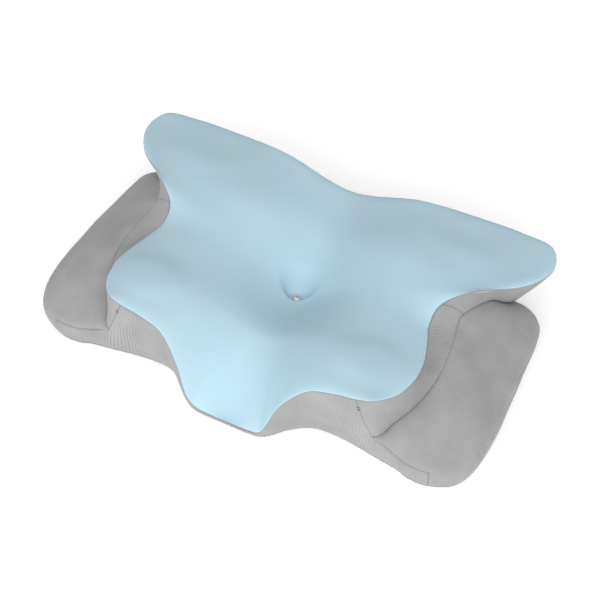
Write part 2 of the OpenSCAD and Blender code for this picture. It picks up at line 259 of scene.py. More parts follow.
class Grid:
    """The cover's outer surface: points and normals as [ring, station]."""

    def __init__(self, per_station, dimple_n, valley_n, wall_n, arm_n, side_n, base_n):
        near = np.array([0.01, 0.025, 0.045, 0.08])
        seams = [s for k in (FRONT_SEAM, CORNER_SEAM, NOTCH_SEAM, ARM_END, ZIP_END)
                 for s in (k, TURN - k)]
        extra = [s + sign * near for s in seams for sign in (-1, 1)]
        even = np.arange(TURN * per_station) / per_station
        self.u = np.unique(np.round(np.concatenate([even, *extra]), 4))
        self.n = len(self.u)
        self.spans = (np.roll(self.u, -1) - np.roll(self.u, 1)) % TURN
        rim, arm, edge, ground = (rail(line, self.u) * MM * STRETCH for line in range(4))
        self.front = np.minimum(self.u, TURN - self.u)
        self.arm_share = np.clip(np.linalg.norm((arm - edge)[:, :2], axis=1) / (12 * MM), 0, 1)
        rows = self.top_rows(rim, dimple_n, valley_n)
        self.dimple_ring = dimple_n
        self.rim_ring = len(rows) - 1
        drop = np.minimum(ROLL_DROP, ROLL_SHARE * rim[:, 2])
        rim = rim - np.outer(drop, [0, 0, 1])
        rise = np.minimum(FOOT_RISE, FOOT_SHARE * rim[:, 2])
        ground = ground + np.outer(rise, [0, 0, 1])
        rows += self.wall_rows(rim, arm, edge, ground, (wall_n, arm_n, side_n))
        self.arm_ring = self.rim_ring + wall_n
        self.edge_ring = self.arm_ring + arm_n
        self.ground_ring = self.edge_ring + side_n
        rows += self.base_rows(ground, rise, base_n)
        self.points = np.array(rows)
        self.rings = len(rows)
        self.normals = self.find_normals()

    def top_rows(self, rim, dimple_n, valley_n):
        """Rings of the top, from under the cap to the rim, where the surface rolls over."""
        flat = rim[:, :2] - BUTTON
        reach = np.linalg.norm(flat, axis=1)
        far = reach - NEAR_EDGE[-1]
        outs = [np.full(self.n, mix(HOLE_R, DIMPLE_R, (k / dimple_n) ** 1.2))
                for k in range(dimple_n)]
        outs += [mix(DIMPLE_R, far, k / valley_n) for k in range(valley_n)]
        outs += [reach - d for d in NEAR_EDGE[::-1]]
        ahead, behind = np.roll(rim, -1, 0), np.roll(rim, 1, 0)
        along = unit((ahead - behind)[:, :2])
        across = np.abs(along[:, 0] * flat[:, 1] - along[:, 1] * flat[:, 0]) / reach
        drop = np.minimum(ROLL_DROP, ROLL_SHARE * rim[:, 2])
        rows = []
        for out in outs:
            share = out / reach
            x, y = (BUTTON + flat * share[:, None]).T
            from_rim = (reach - out) * np.maximum(across, LEAST_ACROSS)
            z = open_z(x, y)
            lift = rim[:, 2] - z
            lift = mix(self.relaxed(lift), lift, share ** (4 * RIM_PULL))
            z = funnelled(x, y, z + lift * share**RIM_PULL) - drop * quarter(from_rim / ROLL_W)
            rows.append(np.stack([x, y, z], 1))
        return rows

    def relaxed(self, lift):
        """A ring's lifts, averaged over the stations nearby, so that no ray shows as a ridge."""
        places = self.u[:, None] - self.u[None]
        apart = np.abs((places + TURN / 2) % TURN - TURN / 2)
        weights = bell(apart / RELAX) * self.spans[None]
        return weights @ lift / weights.sum(1)

    def wall_rows(self, rim, arm, edge, ground, counts):
        """Rings from the rim down to the ground line, padded out between the seams."""
        ahead, behind = np.roll(ground, -1, 0), np.roll(ground, 1, 0)
        along = ahead - behind
        outward = unit(np.stack([along[:, 1], -along[:, 0], 0 * along[:, 0]], 1))
        plain = smooth((FRONT_SEAM + 1 - self.front) / 2)
        wing = bell((self.front - WING_TIP) / WING_LENGTH)
        corners = [rim, arm, edge, ground]
        lengths = [np.linalg.norm(b - a, axis=1) for a, b in zip(corners, corners[1:])]
        total = sum(lengths)
        low = np.clip(total / LOW_WALL, 0.25, 1)
        beside = smooth((self.front - FRONT_SEAM) / 2) * smooth((NOTCH_SEAM - self.front) / 2)
        upper = WALL_SWELL * (1 - beside) + (WING_SWELL - WALL_SWELL) * wing
        swells = (upper, ARM_SWELL * smooth((ARM_END - self.front) / 2), SIDE_SWELL)
        rows, gone = [], np.zeros(self.n)
        for leg, count in enumerate(counts):
            a, b = corners[leg], corners[leg + 1]
            up = unit(np.cross(along, b - a))
            short = np.clip(lengths[leg] / SHORT_FACE, 0, 1)
            for f in eased(count)[1:]:
                p = mix(a, b, f)
                if leg > 0:
                    p = self.round_edge(p, leg, f, edge, corners, lengths)
                whole = padded_out(np.clip((gone + f * lengths[leg]) / total, 0, 1))
                full = padded_out(f) if leg == 0 else np.sin(np.pi * f)
                own = full * swells[leg] * short
                if leg == 0:
                    own = own - np.sin(np.pi * f) * HOLLOW * beside
                p = p + (plain * whole * WALL_SWELL * low)[:, None] * outward
                p = p + ((1 - plain) * own)[:, None] * -up
                rows.append(p)
            gone = gone + lengths[leg]
        return rows

    def round_edge(self, p, leg, f, edge, corners, lengths):
        """Rounds the arm rest's outer edge, where the legs on both sides of it meet."""
        back = (edge - corners[1]) / np.maximum(lengths[1], 1e-6)[:, None]
        on = (corners[3] - edge) / np.maximum(lengths[2], 1e-6)[:, None]
        r = np.minimum(EDGE_ROUND, 0.45 * np.minimum(lengths[1], lengths[2])) * self.arm_share
        away = (1 - f) * lengths[1] if leg == 1 else f * lengths[2]
        sign = -1 if leg == 1 else 1
        t = (np.clip(sign * away / np.maximum(r, 1e-6), -1, 1) + 1) / 2
        start, end = edge - back * r[:, None], edge + on * r[:, None]
        t = t[:, None]
        bend = (1 - t) ** 2 * start + 2 * t * (1 - t) * edge + t**2 * end
        return np.where((away < r)[:, None], bend, p)

    def base_rows(self, ground, rise, base_n):
        """Rings under the base: a rolled foot, then flat to the middle."""
        flat = ground[:, :2] - BUTTON
        reach = np.linalg.norm(flat, axis=1)
        ins = [reach - d for d in NEAR_EDGE[1:]]
        ins += [mix(reach - NEAR_EDGE[-1], 6 * MM, k / base_n) for k in range(1, base_n + 1)]
        rows = []
        for out in ins:
            xy = BUTTON + flat * (out / reach)[:, None]
            z = rise * quarter((reach - out) / FOOT_W)
            rows.append(np.column_stack([xy, z]))
        return rows

    def find_normals(self):
        """Outward unit normals."""
        down = np.gradient(self.points, axis=0)
        along = np.roll(self.points, -1, 1) - np.roll(self.points, 1, 1)
        return unit(np.cross(down, along))

    def owner(self):
        """The name of the piece that each cell belongs to, as [ring, station]."""
        middle = (self.u + np.append(self.u[1:], TURN)) / 2
        k = np.minimum(middle, TURN - middle)
        side = np.where(middle < TURN / 2, "right", "left")
        names = np.full((self.rings - 1, self.n), "bottom_panel", dtype=object)
        names[: self.dimple_ring] = "dimple_panel"
        names[self.dimple_ring : self.rim_ring] = "top_panel"
        arms = np.char.add(side, "_arm_panel").astype(object)
        walls = np.char.add(side, "_wall_panel").astype(object)
        upper = np.where(k < NOTCH_SEAM, walls, "back_gusset")
        lower = np.where(k < ARM_END, arms, np.where(k < ZIP_END, "back_gusset", "zip"))
        foot = np.where(lower == "zip", "bottom_panel", lower)
        for first, last, row, front_end in (
            (self.rim_ring, self.arm_ring, upper, FRONT_SEAM),
            (self.arm_ring, self.edge_ring, lower, FRONT_SEAM),
            (self.edge_ring, self.ground_ring, foot, CORNER_SEAM),
        ):
            names[first:last] = np.where(k < front_end, "front_gusset", row)
        return names


cover = Grid(per_station=14, dimple_n=14, valley_n=38, wall_n=20, arm_n=24, side_n=14, base_n=12)
OWNER = cover.owner()


# ---- Seams: where the panels meet, the cloth is pulled in and puckered ----
CLOTH_T = 1.4 * MM
# The last width is how far from a seam the cloth's colour is darkened, a painted shade of the
# seam's groove.
SEAM_W, SEAM_DIP, PAINTED_SEAM_SHADE_W = 1.1 * MM, 0.55 * MM, 1.1 * MM
PUCKER_W, PUCKER_A, PUCKER_PITCH = 7 * MM, 0.18 * MM, 8.5 * MM
GATHER_AT, GATHER_W, GATHER_A, GATHER_PITCH = 6.3, 12 * MM, 0.6 * MM, 4.6 * MM
HEM_W, HEM_FOLD, HEM_STITCH = 1.3 * MM, 0.5 * MM, 3.4 * MM
UNEVEN_A, UNEVEN_W = 0.35 * MM, 90 * MM


def quads_of(name):
    """The cells of a piece, and their four corners as ring * n + station, facing out."""
    rings, stations = np.nonzero(OWNER == name)
    ahead = (stations + 1) % cover.n
    a, b = rings * cover.n + stations, rings * cover.n + ahead
    return rings, stations, np.stack([a, a + cover.n, b + cover.n, b], 1)


def border_edges(quads):
    """Directed edges of the quads that no other quad shares."""
    edges = np.concatenate([quads[:, [k, (k + 1) % 4]] for k in range(4)]).tolist()
    known = {(a, b) for a, b in edges}
    return np.array([e for e in edges if (e[1], e[0]) not in known])


def distance_to(points, targets):
    """Distance from each point to the nearest target, and that target's index."""
    tree = kdtree.KDTree(len(targets))
    for index, target in enumerate(targets):
        tree.insert(target, index)
    tree.balance()
    found = [tree.find(p)[1:] for p in points]
    return np.array([f[1] for f in found]), np.array([f[0] for f in found])


def ripple(p, scale, seed):
    """Soft unevenness from about -1 to 1, the same on every run."""
    total = np.zeros(p.shape[:-1])
    rng = np.random.default_rng(seed)
    for _ in range(6):
        way = unit(rng.normal(size=3))
        total += np.sin(p @ way * 2 * math.pi / (scale * rng.uniform(0.6, 1.6)) + rng.uniform(0, 6))
    return total / 3.5


def seam_lengths(grid):
    """Length round each ring and down each station."""
    step = np.linalg.norm(np.roll(grid.points, -1, 1) - grid.points, axis=2)
    around = np.concatenate([np.zeros((grid.rings, 1)), np.cumsum(step, 1)], 1)
    step = np.linalg.norm(np.diff(grid.points, axis=0), axis=2)
    down = np.concatenate([np.zeros((1, grid.n)), np.cumsum(step, 0)])
    return around, down


def on_ring(edges, ring):
    return (edges // cover.n == ring).all(axis=1)


AROUND, DOWN = seam_lengths(cover)
BORDERS = {name: border_edges(quads_of(name)[2]) for name in sorted(set(OWNER.ravel()))}
FREE_RINGS = (0, cover.dimple_ring, cover.rings - 1)


def seam_points():
    """Ids of the points on seams and on the zipper's hems, and which seams run round a ring."""
    hems = np.unique(BORDERS["zip"])
    edges = np.concatenate([e for name, e in BORDERS.items() if name != "zip"])
    edges = edges[~np.any([on_ring(edges, ring) for ring in FREE_RINGS], axis=0)]
    level = np.unique(edges[edges[:, 0] // cover.n == edges[:, 1] // cover.n])
    seams = np.setdiff1d(np.unique(edges), hems)
    return seams, hems, level


def sew():
    """Moves the cover's points: in along the seams, out along the hems, and softly uneven.
    Returns each point's distance from its nearest seam or hem."""
    points = cover.points.reshape(-1, 3)
    seams, hems, level = seam_points()
    away, nearest = distance_to(points, points[seams])
    near = seams[nearest]
    place = np.where(np.isin(near, level), AROUND[:, :-1].ravel()[near], DOWN.ravel()[near])
    wave = np.sin(2 * math.pi * place / PUCKER_PITCH + 2 * np.sin(place / (9 * MM)))
    move = PUCKER_A * np.exp(-away / PUCKER_W) * wave - SEAM_DIP * bell(away / SEAM_W)
    ring, station = np.divmod(np.arange(len(points)), cover.n)
    below = DOWN.ravel() - DOWN[cover.rim_ring][station]
    gather = bell((cover.front[station] - GATHER_AT) / 0.45) * (ring > cover.rim_ring)
    gather = gather * np.exp(-np.abs(below) / GATHER_W)
    move += GATHER_A * gather * np.sin(2 * math.pi * AROUND[:, :-1].ravel() / GATHER_PITCH)
    from_hem, _ = distance_to(points, points[hems])
    move += HEM_FOLD * bell((from_hem - HEM_W) / HEM_W)
    move -= 0.6 * HEM_FOLD * bell((from_hem - HEM_STITCH) / (0.6 * MM))
    away = np.minimum(away, from_hem)
    move += UNEVEN_A * ripple(points, UNEVEN_W, 3) * smooth(away / (20 * MM))
    points = points + cover.normals.reshape(-1, 3) * move[:, None]
    points[:, 2] = np.maximum(points[:, 2], 0)
    cover.points = points.reshape(cover.points.shape)
    return away


BODY_NORMALS = cover.normals
FROM_SEAM = sew()
SKIN_NORMALS = cover.find_normals()


# ---- Shells: one panel of the grid as thin cloth ----
def add_mesh(name, points, faces, flat_faces=(), uvs=None, seam=None):
    """A mesh object from arrays. flat_faces come after faces and aren't shaded smooth."""
    mesh = bpy.data.meshes.new(name)
    everything = [*faces, *flat_faces]
    mesh.from_pydata([tuple(p) for p in points], [], [tuple(f) for f in everything])
    mesh.polygons.foreach_set("use_smooth", np.arange(len(everything)) < len(faces))
    if uvs is not None:
        layer = mesh.uv_layers.new(name="Cloth")
        layer.data.foreach_set("uv", np.asarray(uvs, np.float32).ravel())
    if seam is not None:
        attribute = mesh.attributes.new("from_seam", "FLOAT", "POINT")
        attribute.data.foreach_set("value", np.asarray(seam, np.float32))
    mesh.update()
    piece = bpy.data.objects.new(name, mesh)
    bpy.context.scene.collection.objects.link(piece)
    return piece


def unrolled(ring, stations, quads):
    """UV of the cells' corners, in metres: along a ring, and down the walls."""
    here, ahead = AROUND[ring][stations], AROUND[ring][stations + 1]
    return np.stack([np.stack([here, here, ahead, ahead], 1), DOWN.ravel()[quads]], 2)


def cell_uvs(rings, stations, quads, plan):
    """UV of each cell's corners in metres: walls are unrolled, and the rest lies in plan."""
    if not plan:
        return unrolled(cover.rim_ring, stations, quads)
    side = (rings >= cover.edge_ring) & (rings < cover.ground_ring)
    flat = cover.points.reshape(-1, 3)[:, :2][quads]
    return np.where(side[:, None, None], unrolled(cover.edge_ring, stations, quads), flat)


def skin_normals(points, quads, fixed, fixed_normals):
    """Vertex normals from a panel's own cells, except at the fixed vertices."""
    a, b, c, d = (points[quads[:, k]] for k in range(4))
    face = np.cross(c - a, d - b)
    normals = np.zeros_like(points)
    for k in range(4):
        np.add.at(normals, quads[:, k], face)
    normals = unit(normals)
    normals[fixed] = fixed_normals
    return normals


def panel(node, plan=False):
    """One panel of the cover as a closed thin shell."""
    rings, stations, quads = quads_of(node)
    ids = np.unique(quads)
    outer = cover.points.reshape(-1, 3)[ids]
    inner = outer - BODY_NORMALS.reshape(-1, 3)[ids] * CLOTH_T
    index = np.full(cover.rings * cover.n, -1)
    index[ids] = np.arange(len(ids))
    count = len(ids)
    skin = index[quads]
    uv = cell_uvs(rings, stations, quads, plan)
    faces = [*skin.tolist(), *(skin[:, ::-1] + count).tolist()]
    uvs = [uv.reshape(-1, 2), uv[:, ::-1].reshape(-1, 2)]
    border = BORDERS[node]
    last_ring = on_ring(border, cover.rings - 1)
    if last_ring.any():
        last = index[(cover.rings - 1) * cover.n + np.arange(cover.n)]
        faces += [last[::-1].tolist(), (last + count).tolist()]
        uvs += [outer[last[::-1]][:, :2], outer[last][:, :2]]
    flat_faces = [[b, a, a + count, b + count] for a, b in index[border[~last_ring]].tolist()]
    uvs += [outer[[b, a, a, b]][:, :2] for b, a in [f[:2] for f in flat_faces]]
    seam = np.tile(FROM_SEAM[ids], 2)
    points = np.concatenate([outer, inner])
    piece = add_mesh(node + "_cloth", points, faces, flat_faces, np.concatenate(uvs), seam)
    split = np.nonzero(ids // cover.n == cover.dimple_ring)[0]
    if len(split):
        fixed = SKIN_NORMALS.reshape(-1, 3)[ids[split]]
        normals = skin_normals(outer, skin, split, fixed)
        piece.data.normals_split_custom_set_from_vertices(np.concatenate([normals, -normals]))
    return piece


# ---- Materials ----
class Nodes:
    """A short way to write a material's nodes."""

    def __init__(self, name):
        self.material = bpy.data.materials.new(name)
        self.material.use_nodes = True
        self.tree = self.material.node_tree
        self.shader = self.tree.nodes["Principled BSDF"]

    def plug(self, socket, value):
        if isinstance(value, bpy.types.NodeSocket):
            self.tree.links.new(value, socket)
        else:
            socket.default_value = value

    def math(self, operation, a, b=0.0, clamp=False):
        made = self.tree.nodes.new("ShaderNodeMath")
        made.operation = operation
        made.use_clamp = clamp
        self.plug(made.inputs[0], a)
        self.plug(made.inputs[1], b)
        return made.outputs[0]

    def wave(self, place, pitch):
        """A sine from 0 to 1 with the given pitch."""
        turn = self.math("MULTIPLY", place, 2 * math.pi / pitch)
        return self.math("ADD", self.math("MULTIPLY", self.math("SINE", turn), 0.5), 0.5)

    def uv(self):
        made = self.tree.nodes.new("ShaderNodeUVMap")
        made.uv_map = "Cloth"
        parts = self.tree.nodes.new("ShaderNodeSeparateXYZ")
        self.tree.links.new(made.outputs[0], parts.inputs[0])
        return parts.outputs[0], parts.outputs[1]

    def object_place(self):
        return self.tree.nodes.new("ShaderNodeTexCoord").outputs["Object"]

    def noise(self, place, scale, detail=3.0):
        made = self.tree.nodes.new("ShaderNodeTexNoise")
        self.plug(made.inputs["Vector"], place)
        made.inputs["Scale"].default_value = scale
        made.inputs["Detail"].default_value = detail
        return made.outputs["Fac"]

    def ramp(self, value, *stops):
        made = self.tree.nodes.new("ShaderNodeValToRGB")
        self.plug(made.inputs[0], value)
        elements = made.color_ramp.elements
        while len(elements) < len(stops):
            elements.new(0.5)
        for element, (at, colour) in zip(elements, stops):
            element.position = at
            element.color = (*colour, 1)
        return made.outputs[0]

    def mix(self, share, a, b, blend="MIX"):
        made = self.tree.nodes.new("ShaderNodeMix")
        made.data_type = "RGBA"
        made.blend_type = blend
        self.plug(made.inputs[0], share)
        for socket, value in ((made.inputs[6], a), (made.inputs[7], b)):
            self.plug(socket, value if isinstance(value, bpy.types.NodeSocket) else (*value, 1))
        return made.outputs[2]

    def bump(self, height, distance, strength=1.0, normal=None):
        made = self.tree.nodes.new("ShaderNodeBump")
        made.inputs["Distance"].default_value = distance
        made.inputs["Strength"].default_value = strength
        self.plug(made.inputs["Height"], height)
        if normal is not None:
            self.plug(made.inputs["Normal"], normal)
        return made.outputs[0]

    def finish(self, colour=None, normal=None, roughness=None, **constants):
        shader = self.shader.inputs
        if colour is not None:
            self.plug(shader["Base Color"], colour)
        if normal is not None:
            self.plug(shader["Normal"], normal)
        if roughness is not None:
            self.plug(shader["Roughness"], roughness)
        for key, value in constants.items():
            shader[key.replace("_", " ")].default_value = value
        return self.material


def knit(name, light, dark, column, row, depth, seam_painted_shade, sheen, roughness, mottle=0.035):
    """Warp-knit cloth: ribs of stitches with a small pit at each stitch."""
    m = Nodes(name)
    u, v = m.uv()
    lean = m.math("MULTIPLY", m.wave(u, 2 * column), row * 0.5)
    rib = m.wave(u, column)
    stitch = m.wave(m.math("ADD", v, lean), row)
    pits = m.math("ADD", m.math("MULTIPLY", stitch, 0.45), 0.55)
    height = m.math("MULTIPLY", m.math("POWER", rib, 0.7), pits)
    place = m.object_place()
    cloud = m.noise(place, 26, 5)
    fuzz = m.noise(place, 900, 2)
    # Painted shade: the colour follows the relief, darker down in the ribs' valleys, the stitches'
    # pits and the fuzz.
    tone = m.math("ADD", m.math("MULTIPLY", height, 0.7), m.math("MULTIPLY", fuzz, 0.3))
    colour = m.mix(tone, dark, light)
    shade = m.ramp(cloud, (0.35, (1 - mottle,) * 3), (0.65, (1 + mottle / 2,) * 3))
    colour = m.mix(1.0, colour, shade, "MULTIPLY")
    # Painted shade: the colour darkens toward the nearest seam, for the shade in its groove.
    seam = m.tree.nodes.new("ShaderNodeAttribute")
    seam.attribute_name = "from_seam"
    near = m.math("DIVIDE", seam.outputs["Fac"], PAINTED_SEAM_SHADE_W, clamp=True)
    colour = m.mix(1.0, colour, m.ramp(near, (0.0, seam_painted_shade), (1.0, (1, 1, 1))), "MULTIPLY")
    normal = m.bump(height, depth, 0.8, m.bump(fuzz, depth * 0.5, 0.5))
    return m.finish(
        colour, normal, Roughness=roughness, Sheen_Weight=sheen, Sheen_Roughness=0.45,
        Specular_IOR_Level=0.25,
    )


# Each cloth's third colour is its painted seam shade, the share of its colour kept right at a seam.
BLUE = knit("knit_blue", (0.50, 0.68, 0.765), (0.42, 0.60, 0.695), 0.9 * MM, 0.7 * MM, 0.06 * MM,
            (0.66, 0.68, 0.70), 0.10, 0.72, mottle=0.012)
GREY = knit("knit_grey", (0.475, 0.475, 0.48), (0.247, 0.247, 0.252), 2.4 * MM, 1.7 * MM, 0.30 * MM,
            (0.68, 0.68, 0.68), 0.12, 0.85, mottle=0.09)
UNDER = knit("knit_base", (0.40, 0.40, 0.405), (0.27, 0.27, 0.275), 2.4 * MM, 2.4 * MM, 0.25 * MM,
             (0.42, 0.42, 0.42), 0.10, 0.9)
LINER = knit("jersey_white", (0.82, 0.82, 0.80), (0.70, 0.70, 0.68), 1.2 * MM, 1.0 * MM, 0.10 * MM,
             (0.8, 0.8, 0.8), 0.10, 0.85)


def plain_cloth(name, light, dark, scale):
    """Close-woven tape, its weave on object coordinates."""
    m = Nodes(name)
    place = m.object_place()
    parts = m.tree.nodes.new("ShaderNodeSeparateXYZ")
    m.plug(parts.inputs[0], place)
    warp = m.wave(m.math("ADD", parts.outputs[0], parts.outputs[2]), scale)
    weft = m.wave(m.math("SUBTRACT", parts.outputs[0], parts.outputs[2]), scale)
    height = m.math("MAXIMUM", warp, weft)
    # Painted shade: the colour is darker where the weave's relief is low, between the threads; the
    # noise below adds random tone.
    colour = m.mix(height, dark, light)
    colour = m.mix(m.math("MULTIPLY", m.noise(place, 60), 0.25), colour, dark)
    return m.finish(colour, m.bump(height, 0.12 * MM, 0.8), Roughness=0.85, Sheen_Weight=0.1,
                    Specular_IOR_Level=0.25)


def metal(name, colour, rough_low, rough_high, scale=400):
    """Plated metal with a fine grain in its roughness and small scuffs."""
    m = Nodes(name)
    place = m.object_place()
    grain = m.noise(place, scale, 4)
    rough = m.ramp(grain, (0.3, (rough_low,) * 3), (0.75, (rough_high,) * 3))
    tint = m.mix(m.noise(place, 120), colour, tuple(0.86 * c for c in colour))
    return m.finish(tint, m.bump(grain, 0.01 * MM, 0.3), rough, Metallic=1.0)


def moulded(name, colour, scale=700, roughness=0.42):
    """Moulded plastic with a fine spark-eroded skin."""
    m = Nodes(name)
    place = m.object_place()
    grain = m.noise(place, scale, 2)
    tint = m.mix(m.noise(place, 45), colour, tuple(0.9 * c for c in colour))
    return m.finish(tint, m.bump(grain, 0.02 * MM, 0.5), Roughness=roughness)


def foam_material():
    """Open-cell foam with a moulded skin: pale, with small bubbles of two sizes."""
    m = Nodes("foam_cells")
    place = m.object_place()
    cells = []
    for scale in (700, 230):
        bubble = m.tree.nodes.new("ShaderNodeTexVoronoi")
        m.plug(bubble.inputs["Vector"], place)
        bubble.inputs["Scale"].default_value = scale
        cells.append(bubble.outputs["Distance"])
    height = m.math("ADD", cells[0], m.math("MULTIPLY", cells[1], 0.5))
    # Painted shade: the colour is darker down in the bubbles.
    colour = m.mix(m.math("MINIMUM", height, 1.0), (0.80, 0.76, 0.62), (0.90, 0.88, 0.78))
    return m.finish(colour, m.bump(height, 0.25 * MM, 0.7), Roughness=0.9, Specular_IOR_Level=0.2)


def thread_material(name, colour):
    m = Nodes(name)
    place = m.object_place()
    twist = m.tree.nodes.new("ShaderNodeTexWave")
    m.plug(twist.inputs["Vector"], place)
    twist.inputs["Scale"].default_value = 900
    twist.inputs["Distortion"].default_value = 2
    # Painted shade: the colour is darker in the twist's grooves.
    tint = m.mix(twist.outputs["Fac"], tuple(0.75 * c for c in colour), colour)
    return m.finish(tint, m.bump(twist.outputs["Fac"], 0.05 * MM, 0.5), Roughness=0.55,
                    Sheen_Weight=0.1)


def finish_piece(piece, material, body="pillow", nodes=()):
    """Material, slot, body and the CAD nodes that the piece stands for."""
    piece.data.materials.clear()
    piece.data.materials.append(material)
    if nodes:
        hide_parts(*nodes)
    if body:
        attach(piece, body)
    return piece


# ---- Cover panels ----
# Each panel's cloth, whether its weave lies in plan, and the rectangle that it is cut from
WALL_CLOTH = (GREY, "cover_grey", False, (0.28, 0.075))
ARM_CLOTH = (GREY, "cover_grey", True, (0.38, 0.16))
PANELS = {
    "top_panel": (BLUE, "cover_blue", True, (0.62, 0.38)),
    "right_wall_panel": WALL_CLOTH,
    "left_wall_panel": WALL_CLOTH,
    "right_arm_panel": ARM_CLOTH,
    "left_arm_panel": ARM_CLOTH,
    "front_gusset": (GREY, "cover_grey", False, (0.70, 0.12)),
    "back_gusset": (GREY, "cover_grey", False, (1.00, 0.10)),
    "bottom_panel": (UNDER, "cover_grey", True, (0.64, 0.37)),
}
for node, (cloth, slot, plan, cut) in PANELS.items():
    piece = panel(node, plan)
    finish_piece(piece, cloth, nodes=[node])

dimple = panel("dimple_panel", plan=True)
finish_piece(dimple, BLUE, body=None, nodes=["dimple_panel"])
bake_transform(dimple)

# ---- Filling: the liner and the foam, inside the cover ----
filling = Grid(per_station=5, dimple_n=4, valley_n=20, wall_n=8, arm_n=9, side_n=6, base_n=7)


def inside(grid, depth, hole_r):
    """The grid's points at a depth below the cover, with room behind the zipper."""
    points = grid.points - grid.normals * depth
    mid = TURN / 2
    beside_zip = np.abs(grid.u - mid) <= mid - ZIP_END + 0.6
    low = (np.arange(grid.rings) >= grid.arm_ring) & (np.arange(grid.rings) <= grid.edge_ring)
    points[:, :, 1] -= 4 * MM * np.outer(low, beside_zip)
    away = points[:, :, :2] - BUTTON
    out = np.linalg.norm(away, axis=2, keepdims=True)
    held = np.maximum(out, hole_r)
    points[:, :, :2] = BUTTON + away / out * held
    return points


def ring_quads(rings, n, first=0):
    """Quads between successive rings of n points, facing out."""
    here = np.arange(n)
    ahead = (here + 1) % n
    quads = []
    for ring in range(first, rings - 1):
        a, b = ring * n + here, ring * n + ahead
        quads.append(np.stack([a, a + n, b + n, b], 1))
    return np.concatenate(quads)


def liner():
    """The liner: a thin bag with a bound edge round the button's hole."""
    outer = inside(filling, 2.5 * MM, 9 * MM).reshape(-1, 3)
    inner = inside(filling, 3.2 * MM, 9 * MM).reshape(-1, 3)
    n, rings = filling.n, filling.rings
    quads = ring_quads(rings, n)
    count = rings * n
    faces = [*quads.tolist(), *(quads[:, ::-1] + count).tolist()]
    last = (rings - 1) * n + np.arange(n)
    faces += [last[::-1].tolist(), (last + count).tolist()]
    here, ahead = np.arange(n), (np.arange(n) + 1) % n
    edge = np.stack([here, ahead, ahead + count, here + count], 1)
    points = np.concatenate([outer, inner])
    uvs = [points[f][:, :2] for f in faces + edge.tolist()]
    piece = add_mesh("liner_bag", points, faces, edge.tolist(), np.concatenate(uvs),
                     np.full(len(points), 0.1))
    finish_piece(piece, LINER, nodes=["inner_liner"])


def foam():
    """The moulded foam core, with the hole for the stud and the toggle's pocket below it."""
    n, hole_r, pocket_r, pocket_top = filling.n, 9 * MM, 18 * MM, 9.9 * MM
    skin = inside(filling, 3.7 * MM, hole_r)
    skin = skin + (0.25 * MM * ripple(skin, 30 * MM, 5))[:, :, None] * filling.normals
    keep = [k for k in range(filling.rings)
            if k < filling.ground_ring or np.min(np.hypot(*(skin[k, :, :2] - BUTTON).T)) > pocket_r]
    rows = [skin[k] for k in keep if k > 0]
    away = unit(skin[filling.ground_ring, :, :2] - BUTTON)
    base = skin[keep[-1], 0, 2]
    for r, z in ((pocket_r + 1.5 * MM, base), (pocket_r, base + 1.5 * MM), (pocket_r, pocket_top),
                 (hole_r + 1 * MM, pocket_top), (hole_r, pocket_top + 1 * MM)):
        rows.append(np.column_stack([BUTTON + away * r, np.full(n, z)]))
    points = np.concatenate(rows)
    quads = ring_quads(len(rows), n)
    here, ahead = np.arange(n), (np.arange(n) + 1) % n
    last = (len(rows) - 1) * n
    quads = np.concatenate([quads, np.stack([last + here, here, ahead, last + ahead], 1)])
    piece = add_mesh("foam_block", points, quads.tolist())
    finish_piece(piece, foam_material(), nodes=["foam_core"])


liner()
foam()


# ---- Thread: one small raised stitch after another along each seam ----
STITCH_PITCH, STITCH_L, STITCH_R = 3.2 * MM, 2.3 * MM, 0.28 * MM


def lengths_along(path):
    """Distance from the path's start to each of its points."""
    return np.concatenate([[0], np.cumsum(np.linalg.norm(np.diff(path, axis=0), axis=1))])


def sample(values, gone, places):
    """The rows of values, interpolated at places along a path."""
    return np.stack([np.interp(places, gone, values[:, k]) for k in range(3)], 1)


def capsule(sides=6):
    """Template of one stitch along +X, one unit long and one unit in radius."""
    rows = [(-0.5, 0.0), (-0.36, 0.75), (0.0, 1.0), (0.36, 0.75), (0.5, 0.0)]
    points, faces = [], []
    turn = 2 * np.pi * np.arange(sides) / sides
    for x, r in rows[1:-1]:
        points += [(x, r * np.cos(a), r * np.sin(a)) for a in turn]
    points += [(rows[0][0], 0, 0), (rows[-1][0], 0, 0)]
    first, last = 3 * sides, 3 * sides + 1
    for k in range(sides):
        ahead = (k + 1) % sides
        faces += [(first, ahead, k), (last, 2 * sides + k, 2 * sides + ahead)]
        faces += [(r * sides + k, r * sides + ahead, (r + 1) * sides + ahead, (r + 1) * sides + k)
                  for r in range(2)]
    return np.array(points), faces


def stitch_row(path, normals, pitch=STITCH_PITCH, length=STITCH_L, radius=STITCH_R, slant=0.0):
    """Points and faces of stitches set at even steps along a path."""
    gone = lengths_along(path)
    places = np.arange(pitch * 0.7, gone[-1] - pitch * 0.5, pitch)
    at, up = sample(path, gone, places), sample(normals, gone, places)
    way = unit(sample(path, gone, places + 0.5 * MM) - at)
    side = unit(np.cross(up, way))
    way = way * math.cos(slant) + side * math.sin(slant)
    side = np.cross(up, way)
    template, faces = capsule()
    body = (
        template[None, :, :1] * way[:, None] * length
        + template[None, :, 1:2] * side[:, None] * radius
        + template[None, :, 2:] * up[:, None] * radius
        + at[:, None]
    )
    shifted = [tuple(i + k * len(template) for i in face) for k in range(len(at)) for face in faces]
    return body.reshape(-1, 3), shifted


def stitches(name, rows, material):
    """One piece made of several rows of stitches."""
    points, faces = [], []
    for row_points, row_faces in rows:
        base = sum(len(p) for p in points)
        points.append(row_points)
        faces += [tuple(i + base for i in face) for face in row_faces]
    piece = add_mesh(name, np.concatenate(points), faces)
    return finish_piece(piece, material)


